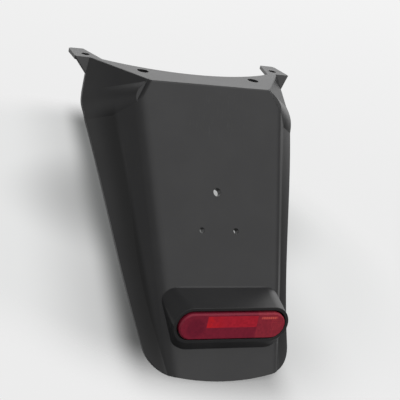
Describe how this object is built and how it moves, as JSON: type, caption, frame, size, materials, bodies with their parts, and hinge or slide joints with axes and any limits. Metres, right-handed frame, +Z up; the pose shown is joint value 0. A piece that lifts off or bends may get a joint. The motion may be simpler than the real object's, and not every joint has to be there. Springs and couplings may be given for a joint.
{
  "type": "motorcycle rear fender",
  "caption": "Black moulded rear fender panel for a motorcycle with swept side wings, a bolting flange with ears and an oblong red reflector in a hood.",
  "frame": {"origin": "midway between the two ear holes, on the upper face of the flange", "axes": "+Z up along the ear bolts, +X to the right across the fender, the panel and the reflector face -Y; as bolted under the tail, with the flange level"},
  "size_m": [0.2088, 0.2196, 0.2093],
  "materials": {
    "fender_plastic": "fine moulded grain, satin",
    "red_lens": "clear red, smooth outside, prisms inside",
    "reflector_plastic": "moulded, smooth",
    "zinc_steel": "zinc plated"
  },
  "bodies": {
    "root": {"fender_body": "fender_plastic", "reflector_lens": "red_lens", "reflector_back": "reflector_plastic", "reflector_stud": "zinc_steel", "reflector_washer": "zinc_steel", "reflector_nut": "zinc_steel"}
  },
  "joints": []
}
